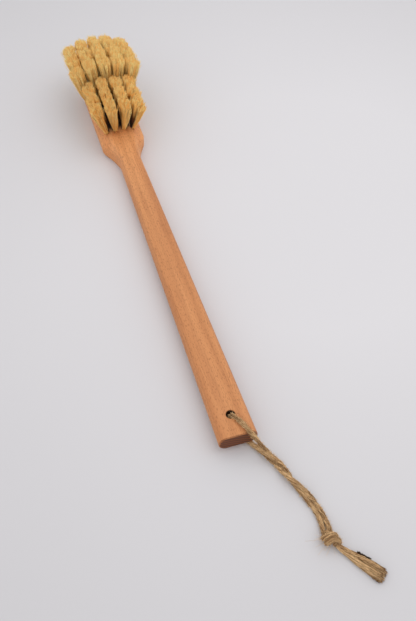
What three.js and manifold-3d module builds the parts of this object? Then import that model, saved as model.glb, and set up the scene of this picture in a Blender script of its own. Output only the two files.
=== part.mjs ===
// Long-handled scrub brush, lying on its back with the fibres up.
// A one-piece beech handle and head is drilled with a field of splayed blind holes. Each hole
// holds a tuft of plant fibre folded over a flat wire anchor. A jute cord is threaded through
// the end of the handle and knotted into a hanging loop.
// Millimetres, +Y from the handle towards the head, +Z up, standing surface at Z = 0.

import * as THREE from "three";
import { mergeVertices } from "three/addons/utils/BufferGeometryUtils.js";
import Module from "manifold-3d";

const wasm = await Module();
wasm.setup();

// Clearances
const FIT_GAP = 0.3;
const CROWN_GAP = 0.5;

// Lengths along the body, from the square-cut end of the handle
const HANDLE_LENGTH = 291;
const SHOULDER_LENGTH = 27;
const HEAD_LENGTH = 99;
const NOSE_LENGTH = 32;

// Widths: the whole body, and the flat between its rounded or sloping sides
const HANDLE_END_WIDTH = 28;
const NECK_WIDTH = 19.2;
const HEAD_WIDTH = 38.6;
const HANDLE_END_FLAT = 18;
const NECK_FLAT = 11.8;
const HEAD_FLAT = 19;

// Thicknesses: the top is level, and the underside of the handle rises towards its end
const HEAD_THICKNESS = 18;
const HANDLE_END_THICKNESS = 13.2;
const HEAD_EDGE_THICKNESS = 12.5;

// Edges and curves of the body
const END_EASE = 0.7;
const SHOULDER_ROUND = 1.6;
const SHOULDER_WALL_RUN = 15;
const NOSE_FULLNESS = 3.2;
const NOSE_DROP_LENGTH = 56;
const NOSE_DROP_RADIUS = 200;
const TIP_ROUND = 5;
const ROUND_SIDE_POWER = 2;
const HEAD_SLOPE_POWER = 1.15;
const HEAD_WALL_POWER = 5;
const SIDE_STEPS = 6;
const SHOULDER_STEPS = 12;
const HEAD_STEPS = 2;
const NOSE_STEPS = 8;
const NOSE_END_TURN = 80;

// Hanging hole
const HANGING_HOLE_DIAMETER = 6.4;
const HANGING_HOLE_SETBACK = 17.7;
const HANGING_HOLE_EASE = 1;
const HANGING_HOLE_SIDES = 20;
const HANGING_HOLE_EASE_STEPS = 3;

// Drilled holes, the tufts in them and the wire anchors that hold the tufts
const TUFT_HOLE_DIAMETER = 5.2;
const TUFT_HOLE_DEPTH = 7;
const TUFT_HOLE_SIDES = 12;
const TUFT_COLLAR = 1.4;
const TUFT_SIDES = 16;
const TUFT_FLARE_STEPS = 3;
const TUFT_FLUTE_DEPTH = 0.12;
const CROWN_SQUARENESS = 3;
const CROWN_DOME = 1.6;
const CROWN_DOME_INSET = 2.2;
const ANCHOR_THICKNESS = 0.5;
const ANCHOR_HEIGHT = 1.6;
const ANCHOR_BITE = 0.4;
const ANCHOR_RISE = 1.6;

// The tuft field: rows fill the head from the shoulders to the tip, trimmed to two heights
const FIRST_ROW_SETBACK = 11.5;
const LAST_ROW_SETBACK = 11.5;
const LOW_TUFTS = {
  name: "low", columns: 4, rows: 3, edge: 7.4, length: 27, splay: 15.5, lean: -2, leanStep: 3.5, arch: 0,
};
const TALL_TUFTS = {
  name: "tall", columns: 5, rows: 3, edge: 4.2, length: 39, splay: 16.2, lean: 5, leanStep: 9, arch: 4,
};

// Jute cord: hand-laid routes of both legs and both tails, from the middle of the handle's end
const CORD_DIAMETER = 3.6;
const CORD_SIDES = 8;
const LEG_STEPS = 30;
const TAIL_STEPS = 9;
const UPPER_LEG = [
  [0, 17.7, 11.9], [0, 17.7, 15.4], [0.4, 16.9, 18.3], [1.4, 14.8, 20.1], [3.6, 10.8, 20.3], [6.4, 3.6, 20.2],
  [9, -3.2, 19.2], [12.3, -8.8, 15.6], [15.9, -13.3, 11.4], [19.6, -17.2, 7.6], [23.3, -21.2, 4.8],
  [25.7, -26.8, 2.4], [26.1, -34, 1.9], [27.7, -41.9, 1.9], [29.4, -48.6, 1.9], [31.3, -54.9, 1.9],
  [32.8, -61.2, 1.9], [33.1, -67.1, 1.9], [32.6, -72.4, 2.3], [32, -76.9, 3.6],
];
const LOWER_LEG = [
  [0, 17.7, 11.6], [0, 17.7, 7.6], [0.5, 16.8, 3.4], [1.8, 14.2, 2], [4.6, 9.4, 1.9], [7.4, 4.4, 1.9],
  [10.2, -0.3, 1.9], [12.8, -5.2, 1.9], [15.2, -10.2, 1.9], [17.9, -15.9, 1.9], [19.9, -22, 2.4],
  [22, -29, 4.8], [25.4, -35.8, 6.1], [28.9, -41.2, 6], [32.3, -45.8, 4.9], [34.6, -51, 2.9],
  [36.2, -57.4, 1.9], [37.2, -64, 1.9], [37.1, -70.5, 2.3], [36.1, -76.6, 3.6],
];
const LEFT_TAIL = [
  [34.6, -87.6, 3.4], [38.2, -91.9, 2.4], [42.3, -96.8, 1.9], [46.3, -102.1, 1.9], [49.8, -107, 1.9],
  [52.5, -111.1, 1.9], [55, -115.2, 1.9],
];
const RIGHT_TAIL = [
  [38.4, -85.4, 4.6], [42.2, -90, 3.4], [46.2, -94.8, 2.2], [49.8, -99.6, 1.9], [53.1, -104.3, 1.9],
  [55.8, -108.4, 1.9], [58.2, -112.4, 1.9],
];
const KNOT_RADIUS = 5;
const KNOT_HALF_LENGTH = 6.6;
const KNOT_HEIGHT = 5.8;
const KNOT_LOBES = 3;
const KNOT_LOBE_DEPTH = 0.14;
const KNOT_TWIST = 200;
const KNOT_SIDES = 18;
const KNOT_STEPS = 10;
const KNOT_END_TURN = 78;

const NECK_Y = HANDLE_LENGTH;
const SHOULDER_Y = NECK_Y + SHOULDER_LENGTH;
const TIP_Y = SHOULDER_Y + HEAD_LENGTH;
const NOSE_Y = TIP_Y - NOSE_LENGTH;
const UP = new THREE.Vector3(0, 0, 1);
const { degToRad, lerp, clamp, smoothstep } = THREE.MathUtils;

const beech = () => new THREE.MeshStandardMaterial({ color: 0xd79b68, roughness: 0.55, metalness: 0 });
const fibre = () => new THREE.MeshStandardMaterial({ color: 0xd8b06a, roughness: 0.8, metalness: 0 });
const wire = () => new THREE.MeshStandardMaterial({ color: 0xb9bcc0, roughness: 0.4, metalness: 1 });
const jute = () => new THREE.MeshStandardMaterial({ color: 0xa88758, roughness: 0.9, metalness: 0 });

/** Even steps between two values, both included. */
const spread = (from, to, steps) => Array.from({ length: steps + 1 }, (_, i) => lerp(from, to, i / steps));

/** A closed solid through rings of equal point count, each end closed by a fan about its middle. */
function loft(rings) {
  const size = rings[0].length;
  const points = rings.flat();
  const faces = [];
  for (let ring = 0; ring + 1 < rings.length; ring += 1) {
    for (let i = 0; i < size; i += 1) {
      const here = ring * size + i;
      const next = ring * size + ((i + 1) % size);
      faces.push(here, next, next + size, here, next + size, here + size);
    }
  }
  const close = (ring, start, outward) => {
    const middle = ring.reduce((sum, p) => sum.add(p), new THREE.Vector3()).divideScalar(size);
    points.push(middle);
    for (let i = 0; i < size; i += 1) {
      const edge = [start + i, start + ((i + 1) % size)];
      faces.push(points.length - 1, ...(outward ? edge : edge.reverse()));
    }
  };
  close(rings[0], 0, false);
  close(rings.at(-1), (rings.length - 1) * size, true);
  const geometry = new THREE.BufferGeometry().setFromPoints(points);
  geometry.setIndex(faces);
  return geometry;
}

/** A geometry, placed by a matrix, as a solid that can be joined and cut. */
function solidOf(geometry, matrix = new THREE.Matrix4()) {
  const bare = geometry.clone().applyMatrix4(matrix);
  bare.deleteAttribute("normal");
  bare.deleteAttribute("uv");
  const merged = mergeVertices(bare, 1e-5);
  return new wasm.Manifold(new wasm.Mesh({
    numProp: 3,
    vertProperties: new Float32Array(merged.attributes.position.array),
    triVerts: new Uint32Array(merged.index.array),
  }));
}

/** A cut solid as a geometry again. */
function geometryOf(solid) {
  const { vertProperties, triVerts } = solid.getMesh();
  const geometry = new THREE.BufferGeometry();
  geometry.setAttribute("position", new THREE.BufferAttribute(new Float32Array(vertProperties), 3));
  geometry.setIndex(new THREE.BufferAttribute(new Uint32Array(triVerts), 1));
  return geometry;
}

/** A named mesh with its own material. */
function piece(name, geometry, material) {
  geometry.computeVertexNormals();
  const mesh = new THREE.Mesh(geometry, material);
  mesh.name = name;
  return mesh;
}

// The body's shape, as widths and heights at a place along it

/** The lesser of a and b, rounded over where they cross. */
function roundedMin(a, b, round) {
  const overlap = Math.max(round - Math.abs(a - b), 0) / round;
  return Math.min(a, b) - (overlap * overlap * round) / 4;
}

/** 0 on the handle and 1 on the head, passing smoothly through the shoulders. */
const headShare = (y) => smoothstep(y, NECK_Y, SHOULDER_Y);

/** How far the handle's round side has turned into the upright wall of the shoulders and head. */
const wallShare = (y) => smoothstep(y, NECK_Y, NECK_Y + SHOULDER_WALL_RUN);

/** How much of the head's width is left at a place on the rounded nose. */
function noseShare(y) {
  const reach = clamp((y - NOSE_Y) / NOSE_LENGTH, 0, 1);
  return (1 - reach ** NOSE_FULLNESS) ** (1 / NOSE_FULLNESS);
}

/** Half the body's width: a tapering handle, concave shoulders with a rounded corner, and the nose. */
function halfWidth(y) {
  if (y <= NECK_Y) return lerp(HANDLE_END_WIDTH, NECK_WIDTH, y / NECK_Y) / 2;
  const flare = ((y - NECK_Y) / SHOULDER_LENGTH) ** 2;
  const flared = lerp(NECK_WIDTH, HEAD_WIDTH, flare) / 2;
  return roundedMin(flared, HEAD_WIDTH / 2, SHOULDER_ROUND) * noseShare(y);
}

/** Half the width of the flat along the top. */
function halfFlat(y) {
  if (y <= NECK_Y) return lerp(HANDLE_END_FLAT, NECK_FLAT, y / NECK_Y) / 2;
  return (lerp(NECK_FLAT, HEAD_FLAT, headShare(y)) / 2) * noseShare(y);
}

/** How far the top and the underside draw together over the last of the nose. */
function tipDraw(y) {
  const reach = clamp((y - TIP_Y) / TIP_ROUND + 1, 0, 1);
  return TIP_ROUND * (1 - Math.sqrt(1 - reach * reach));
}

/** Height of the flat top, which curves down towards the tip. */
function topHeight(y) {
  const along = Math.max(y - (TIP_Y - NOSE_DROP_LENGTH), 0);
  const drop = NOSE_DROP_RADIUS - Math.sqrt(NOSE_DROP_RADIUS ** 2 - along ** 2);
  return HEAD_THICKNESS - drop - tipDraw(y);
}

/** Height of the underside. */
function backHeight(y) {
  const rise = (HEAD_THICKNESS - HANDLE_END_THICKNESS) * Math.max(1 - y / NECK_Y, 0);
  return rise + tipDraw(y);
}

/** Height of the body's widest line: half way up the handle, and the top of the head's side wall. */
function widestHeight(y) {
  const half = (topHeight(y) + backHeight(y)) / 2;
  const slope = HEAD_THICKNESS - HEAD_EDGE_THICKNESS;
  return lerp(half, Math.max(topHeight(y) - slope, half), wallShare(y));
}

const slopePower = (y) => lerp(ROUND_SIDE_POWER, HEAD_SLOPE_POWER, headShare(y));
const wallPower = (y) => lerp(ROUND_SIDE_POWER, HEAD_WALL_POWER, wallShare(y));

/** Height of the body's upper surface at a place inside its outline. */
function surfaceHeight(x, y) {
  const side = clamp((Math.abs(x) - halfFlat(y)) / (halfWidth(y) - halfFlat(y)), 0, 1);
  const level = (1 - side ** slopePower(y)) ** (1 / slopePower(y));
  return lerp(widestHeight(y), topHeight(y), level);
}

/** The body's section at a place along it, drawn in by an inset. */
function bodyRing(y, inset = 0) {
  const flat = halfFlat(y) - inset;
  const wide = halfWidth(y) - inset;
  const middle = widestHeight(y);
  const quarter = (reach, power) => spread(0, Math.PI / 2, SIDE_STEPS).map((turn) => {
    const across = Math.sin(turn) ** (2 / power);
    const level = Math.max(Math.cos(turn), 0) ** (2 / power);
    return new THREE.Vector2(lerp(flat, wide, across), middle + reach * level);
  });
  const upper = quarter(topHeight(y) - inset - middle, slopePower(y));
  const lower = quarter(backHeight(y) + inset - middle, wallPower(y)).reverse().slice(1);
  const right = [...upper, ...lower];
  const left = right.map((p) => new THREE.Vector2(-p.x, p.y)).reverse();
  return [...right, ...left].map((p) => new THREE.Vector3(p.x, y, p.y));
}

/** The shaped body before drilling. */
function bodyBlank() {
  const shoulders = spread(NECK_Y, SHOULDER_Y + SHOULDER_ROUND, SHOULDER_STEPS);
  const head = spread(TIP_Y - NOSE_DROP_LENGTH, NOSE_Y, HEAD_STEPS);
  const nose = spread(0, NOSE_END_TURN, NOSE_STEPS)
    .map((turn) => NOSE_Y + NOSE_LENGTH * Math.sin(degToRad(turn)));
  const places = [END_EASE, ...shoulders, ...head, ...nose.slice(1)];
  return solidOf(loft([bodyRing(0, END_EASE), ...places.map((y) => bodyRing(y))]));
}

/** A cutter for the hanging hole, with both of its mouths eased. */
function hangingHoleCutter() {
  const lip = HANGING_HOLE_DIAMETER / 2 + HANGING_HOLE_EASE;
  const bottom = backHeight(HANGING_HOLE_SETBACK);
  const top = topHeight(HANGING_HOLE_SETBACK);
  const turns = spread(0, Math.PI / 2, HANGING_HOLE_EASE_STEPS);
  const mouth = (level, inward) => turns.map((turn) => new THREE.Vector2(
    lip - HANGING_HOLE_EASE * Math.sin(turn),
    level + inward * HANGING_HOLE_EASE * (1 - Math.cos(turn)),
  ));
  const profile = [
    new THREE.Vector2(0, bottom - HANGING_HOLE_EASE),
    new THREE.Vector2(lip, bottom - HANGING_HOLE_EASE),
    ...mouth(bottom, 1),
    ...mouth(top, -1).reverse(),
    new THREE.Vector2(lip, top + HANGING_HOLE_EASE),
    new THREE.Vector2(0, top + HANGING_HOLE_EASE),
  ];
  const upright = new THREE.Matrix4().makeRotationX(Math.PI / 2);
  upright.setPosition(0, HANGING_HOLE_SETBACK, 0);
  return solidOf(new THREE.LatheGeometry(profile, HANGING_HOLE_SIDES), upright);
}

// The tuft field

/** One tuft's place on the wood and the way its hole is drilled; side runs from -1 to 1 across. */
function tuftAt(group, rowY, row, side) {
  const y = rowY - group.arch * side * side;
  const x = side * (halfWidth(y) - group.edge);
  const foot = new THREE.Vector3(x, y, surfaceHeight(x, y));
  const splay = degToRad(side * group.splay);
  const lean = degToRad(group.lean + row * group.leanStep);
  const axis = new THREE.Vector3(Math.tan(splay), Math.tan(lean), 1).normalize();
  const reach = (length) => foot.clone().addScaledVector(axis, length);
  return { foot, axis, reach, length: group.length };
}

/** Half the room that a tuft's crown has among its neighbours, at the height of the shorter one. */
function crownRoom(tuft, neighbours) {
  const rooms = neighbours.map((other) => {
    const length = Math.min(tuft.length, other.length);
    return (tuft.reach(length).distanceTo(other.reach(length)) - CROWN_GAP) / 2;
  });
  return Math.min(...rooms);
}

/** Every tuft of the field, with a name and a crown as wide as its neighbours leave room for. */
function tuftField() {
  const rows = [LOW_TUFTS, TALL_TUFTS].flatMap((group) => spread(0, group.rows - 1, group.rows - 1)
    .map((row) => ({ group, row })));
  const places = spread(SHOULDER_Y + FIRST_ROW_SETBACK, TIP_Y - LAST_ROW_SETBACK, rows.length - 1);
  const lines = rows.map(({ group, row }, i) => spread(-1, 1, group.columns - 1)
    .map((side) => tuftAt(group, places[i], row, side)));
  return lines.flatMap((line, i) => line.map((tuft, column) => {
    const { group, row } = rows[i];
    const beside = [line[column - 1], line[column + 1]].filter((other) => other);
    const beyond = [lines[i - 1], lines[i + 1]].flatMap((other) => other ?? []);
    const crownWidth = crownRoom(tuft, beside);
    const crownLength = crownRoom(tuft, beyond);
    return { ...tuft, crownWidth, crownLength, label: `${group.name}_r${row + 1}_c${column + 1}` };
  }));
}

/** The place of a tuft's hole: the origin at its mouth and +Z out along it. */
function drillMatrix({ foot, axis }) {
  const turn = new THREE.Quaternion().setFromUnitVectors(UP, axis);
  return new THREE.Matrix4().compose(foot, turn, new THREE.Vector3(1, 1, 1));
}

/** A drill for one tuft's hole, from its flat bottom to clear of the wood. */
function tuftHoleCutter() {
  const above = TUFT_HOLE_DIAMETER;
  const radius = TUFT_HOLE_DIAMETER / 2;
  const drill = new THREE.CylinderGeometry(radius, radius, TUFT_HOLE_DEPTH + above, TUFT_HOLE_SIDES);
  drill.rotateX(Math.PI / 2);
  return drill.translate(0, 0, (above - TUFT_HOLE_DEPTH) / 2);
}

/** The flat wire across the bottom of a hole, its ends biting into the wood; grown for its seat. */
function anchorShape(growth = 0) {
  const length = TUFT_HOLE_DIAMETER + 2 * ANCHOR_BITE;
  const size = [ANCHOR_THICKNESS, length, ANCHOR_HEIGHT].map((side) => side + 2 * growth);
  const middle = ANCHOR_RISE + ANCHOR_HEIGHT / 2 - TUFT_HOLE_DEPTH;
  return new THREE.BoxGeometry(...size).translate(0, 0, middle);
}

/** A bundle of fibres: a round root in the hole, then flaring, fluted and squarer up to a domed crown. */
function tuftShape({ length, crownWidth, crownLength }) {
  const root = TUFT_HOLE_DIAMETER / 2 - FIT_GAP;
  const ring = (height, flare, inset = 0) => Array.from({ length: TUFT_SIDES }, (_, i) => {
    const turn = (2 * Math.PI * i) / TUFT_SIDES;
    const flute = 1 - TUFT_FLUTE_DEPTH * flare * (i % 2);
    const power = lerp(2, CROWN_SQUARENESS, flare);
    const across = Math.abs(Math.cos(turn)) ** power;
    const along = Math.abs(Math.sin(turn)) ** power;
    const reach = flute / (across + along) ** (1 / power);
    const wide = (lerp(root, crownWidth, flare) - inset) * reach;
    const deep = (lerp(root, crownLength, flare) - inset) * reach;
    return new THREE.Vector3(wide * Math.cos(turn), deep * Math.sin(turn), height);
  });
  const flares = spread(0, 1, TUFT_FLARE_STEPS).map((flare) => ring(lerp(TUFT_COLLAR, length, flare), flare));
  const crown = ring(length + CROWN_DOME, 1, CROWN_DOME_INSET);
  return loft([ring(FIT_GAP - TUFT_HOLE_DEPTH, 0), ...flares, crown]);
}

/** One tuft and its anchor, standing in their hole. */
function tuftAssembly(tuft) {
  const seat = solidOf(anchorShape(FIT_GAP));
  const bundle = geometryOf(solidOf(tuftShape(tuft)).subtract(seat));
  const assembly = new THREE.Group();
  assembly.add(piece(`tuft_${tuft.label}`, bundle, fibre()));
  assembly.add(piece(`anchor_${tuft.label}`, anchorShape(), wire()));
  assembly.applyMatrix4(drillMatrix(tuft));
  return assembly;
}

/** The body with its hanging hole, tuft holes and anchor seats cut. */
function brushBody(tufts) {
  const cutters = tufts.flatMap((tuft) => [
    solidOf(tuftHoleCutter(), drillMatrix(tuft)),
    solidOf(anchorShape(FIT_GAP), drillMatrix(tuft)),
  ]);
  const body = [hangingHoleCutter(), ...cutters].reduce((wood, cutter) => wood.subtract(cutter), bodyBlank());
  return piece("brush_body", geometryOf(body), beech());
}

// The hanging cord

/** A round cord along a route; grown for the seats that it leaves in the knot. */
function cordShape(route, steps, growth = 0) {
  const radius = CORD_DIAMETER / 2 + growth;
  const corners = Array.from({ length: CORD_SIDES }, (_, i) => {
    const turn = (2 * Math.PI * i) / CORD_SIDES;
    return new THREE.Vector2(radius * Math.cos(turn), radius * Math.sin(turn));
  });
  const extrudePath = new THREE.CatmullRomCurve3(route.map((point) => new THREE.Vector3(...point)));
  return new THREE.ExtrudeGeometry(new THREE.Shape(corners), { steps, extrudePath, bevelEnabled: false });
}

/** The overhand knot: a short bundle of turns wrapped round both legs, with seats for all four ends. */
function knotShape(routes) {
  const legEnd = new THREE.Vector3(...UPPER_LEG.at(-1)).lerp(new THREE.Vector3(...LOWER_LEG.at(-1)), 0.5);
  const tailStart = new THREE.Vector3(...LEFT_TAIL[0]).lerp(new THREE.Vector3(...RIGHT_TAIL[0]), 0.5);
  const centre = legEnd.clone().lerp(tailStart, 0.5).setZ(KNOT_HEIGHT);
  const heading = tailStart.clone().sub(legEnd).setZ(0).normalize();
  const rings = spread(-KNOT_END_TURN, KNOT_END_TURN, KNOT_STEPS).map((turn) => {
    const along = Math.sin(degToRad(turn));
    const radius = KNOT_RADIUS * Math.cos(degToRad(turn));
    return Array.from({ length: KNOT_SIDES }, (_, i) => {
      const round = (2 * Math.PI * i) / KNOT_SIDES;
      const lobe = 1 + KNOT_LOBE_DEPTH * Math.cos(KNOT_LOBES * round + degToRad(KNOT_TWIST) * along);
      const reach = radius * lobe;
      return new THREE.Vector3(reach * Math.cos(round), reach * Math.sin(round), KNOT_HALF_LENGTH * along);
    });
  });
  const turn = new THREE.Quaternion().setFromUnitVectors(UP, heading);
  const place = new THREE.Matrix4().compose(centre, turn, new THREE.Vector3(1, 1, 1));
  const seats = routes.map(({ route, steps }) => solidOf(cordShape(route, steps, FIT_GAP)));
  return geometryOf(seats.reduce((knot, seat) => knot.subtract(seat), solidOf(loft(rings), place)));
}

/** Both legs, both tails and the knot that joins them. */
function hangingCord() {
  const routes = [
    { name: "cord_upper_leg", route: UPPER_LEG, steps: LEG_STEPS },
    { name: "cord_lower_leg", route: LOWER_LEG, steps: LEG_STEPS },
    { name: "cord_left_tail", route: LEFT_TAIL, steps: TAIL_STEPS },
    { name: "cord_right_tail", route: RIGHT_TAIL, steps: TAIL_STEPS },
  ];
  const cord = new THREE.Group();
  cord.add(...routes.map(({ name, route, steps }) => piece(name, cordShape(route, steps), jute())));
  cord.add(piece("cord_knot", knotShape(routes), jute()));
  return cord;
}

const tufts = tuftField();
const brush = new THREE.Group();
brush.add(brushBody(tufts), ...tufts.map(tuftAssembly));

const part = new THREE.Group();
part.add(brush, hangingCord());
const box = new THREE.Box3().setFromObject(brush, true);
const middle = box.getCenter(new THREE.Vector3());
part.position.set(-middle.x, -middle.y, -box.min.z);

export default part;
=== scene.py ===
"""A long-handled scrub brush of beech, plant fibre and jute, dressed over its CAD frame."""

import logging
import math
from dataclasses import dataclass, field
from enum import Enum
from typing import Any, Sequence

import bpy
import numpy as np
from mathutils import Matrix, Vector


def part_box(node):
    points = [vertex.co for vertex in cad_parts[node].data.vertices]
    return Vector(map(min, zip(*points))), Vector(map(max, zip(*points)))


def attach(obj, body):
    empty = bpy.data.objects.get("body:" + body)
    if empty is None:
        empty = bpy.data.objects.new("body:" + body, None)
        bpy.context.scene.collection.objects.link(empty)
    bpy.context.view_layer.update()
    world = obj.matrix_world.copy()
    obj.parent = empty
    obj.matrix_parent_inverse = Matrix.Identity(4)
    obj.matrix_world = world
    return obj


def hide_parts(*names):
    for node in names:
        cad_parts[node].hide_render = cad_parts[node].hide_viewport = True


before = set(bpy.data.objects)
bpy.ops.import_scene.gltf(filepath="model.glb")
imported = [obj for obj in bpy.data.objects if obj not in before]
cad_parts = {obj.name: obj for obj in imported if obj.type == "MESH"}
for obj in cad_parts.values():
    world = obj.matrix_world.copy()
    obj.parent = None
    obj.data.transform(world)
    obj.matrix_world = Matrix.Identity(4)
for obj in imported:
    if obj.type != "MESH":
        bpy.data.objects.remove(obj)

log = logging.getLogger("scrub_brush")

Tree = bpy.types.NodeTree
Node = bpy.types.Node
Socket = bpy.types.NodeSocket
Material = bpy.types.Material
Piece = bpy.types.Object
Draws = np.random.Generator
Span = tuple[float, float]
Point = tuple[float, float, float]
Patch = tuple[float, float, float]  # width across and length along the grain, octaves of finer noise
Reach = tuple[float, float, float]  # where a pattern's value starts to show, where it is full, how strongly

MM = 0.001
BODY = "root"
WOOD = "brush_body"
IMAGE_HEIGHT = 621
DARK_FIBRE_TONE = -0.5  # the tone that marks a fibre of the cord as dark
WAVE_LENGTH = math.pi / 10  # of a wave texture at scale 1
COLOUR_A, COLOUR_B, COLOUR_OUT = 6, 7, 2  # a Mix node's sockets for colours
VALUE_A, VALUE_B = 2, 3  # and for plain values
TINY = 1e-9
END_STEP = 1.001  # points back from a line's end, so that its last place has a point after it
UP = (0.0, 0.0, 1.0)


class Slot(Enum):
    """Material slot names for the new pieces; this script assigns none of them."""

    BEECH = "beech"
    FIBRE = "plant_fibre"
    JUTE = "jute"


class Trim(Enum):
    """The two heights that the tufts are trimmed to, by the name in their nodes."""

    LOW = "low"
    TALL = "tall"


class FarEnd(Enum):
    """What a run of the cord ends in."""

    KNOT = "knot"
    BARE = "bare"


# Helpers for colours, nodes and selection


def linear(code: str) -> tuple[float, float, float, float]:
    """Turns an sRGB hex colour to linear.

    Args:
        code: Six hex digits after a hash sign.

    Returns:
        Red, green, blue and alpha.
    """
    parts = [int(code[i : i + 2], 16) / 255 for i in (1, 3, 5)]
    red, green, blue = (c / 12.92 if c <= 0.04045 else ((c + 0.055) / 1.055) ** 2.4 for c in parts)
    return red, green, blue, 1.0


def new_material(name: str) -> tuple[Material, Tree, Node]:
    """Starts a node material.

    Args:
        name: The finish's name.

    Returns:
        The material, its node tree and its Principled shader.
    """
    material = bpy.data.materials.new(name)
    material.use_nodes = True
    tree = material.node_tree
    return material, tree, tree.nodes["Principled BSDF"]


def feed(tree: Tree, node: Node, sockets: dict[Any, Any]) -> None:
    """Sets or links a node's input sockets.

    Args:
        tree: The material's node tree.
        node: The node to feed.
        sockets: Input sockets by name or number, each with a value or the socket that feeds it.
    """
    for key, value in sockets.items():
        if isinstance(value, Socket):
            tree.links.new(value, node.inputs[key])
        else:
            node.inputs[key].default_value = value


def add_node(tree: Tree, kind: str, sockets: dict[Any, Any] | None = None, **settings: Any) -> Node:
    """Adds one shader node with its settings and links.

    Args:
        tree: The material's node tree.
        kind: The node's type name, without the prefix that all shader nodes share.
        sockets: Input sockets by name or number, each with a value or the socket that feeds it.
        settings: The node's own properties.

    Returns:
        The new node.
    """
    node = tree.nodes.new("ShaderNode" + kind)
    for key, value in settings.items():
        setattr(node, key, value)
    feed(tree, node, sockets or {})
    return node


def deselect_all() -> None:
    """Leaves object mode with nothing selected."""
    if bpy.context.object and bpy.context.object.mode != "OBJECT":
        bpy.ops.object.mode_set(mode="OBJECT")
    bpy.ops.object.select_all(action="DESELECT")


def only(piece: Piece) -> None:
    """Selects one object alone and makes it active.

    Args:
        piece: The object.
    """
    deselect_all()
    piece.select_set(True)
    bpy.context.view_layer.objects.active = piece


def dress(piece: Piece, material: Material) -> None:
    """Gives an object one material."""
    piece.data.materials.clear()
    piece.data.materials.append(material)


def seat(piece: Piece, node: str) -> None:
    """Rides a new piece on the brush and hides the node that it stands for.

    Args:
        piece: The new piece.
        node: The CAD node that it replaces.
    """
    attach(piece, BODY)
    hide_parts(node)


def handle_end() -> float:
    """Where the handle ends, along the brush."""
    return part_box(WOOD)[0][1]


# Finishes


def stretched(tree: Tree, place: Socket, patch: Patch) -> Socket:
    """Adds noise drawn out along the grain.

    Args:
        tree: The material's node tree.
        place: Places across and along the grain, in metres.
        patch: The size of one patch of noise, and its detail.

    Returns:
        The noise value.
    """
    across, along, detail = patch
    drawn = {"Vector": place, "Scale": (1 / across, 1 / along, 1 / across)}
    noise = {"Vector": add_node(tree, "Mapping", drawn).outputs[0], "Scale": 1.0, "Detail": detail}
    return add_node(tree, "TexNoise", noise).outputs["Fac"]


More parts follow.
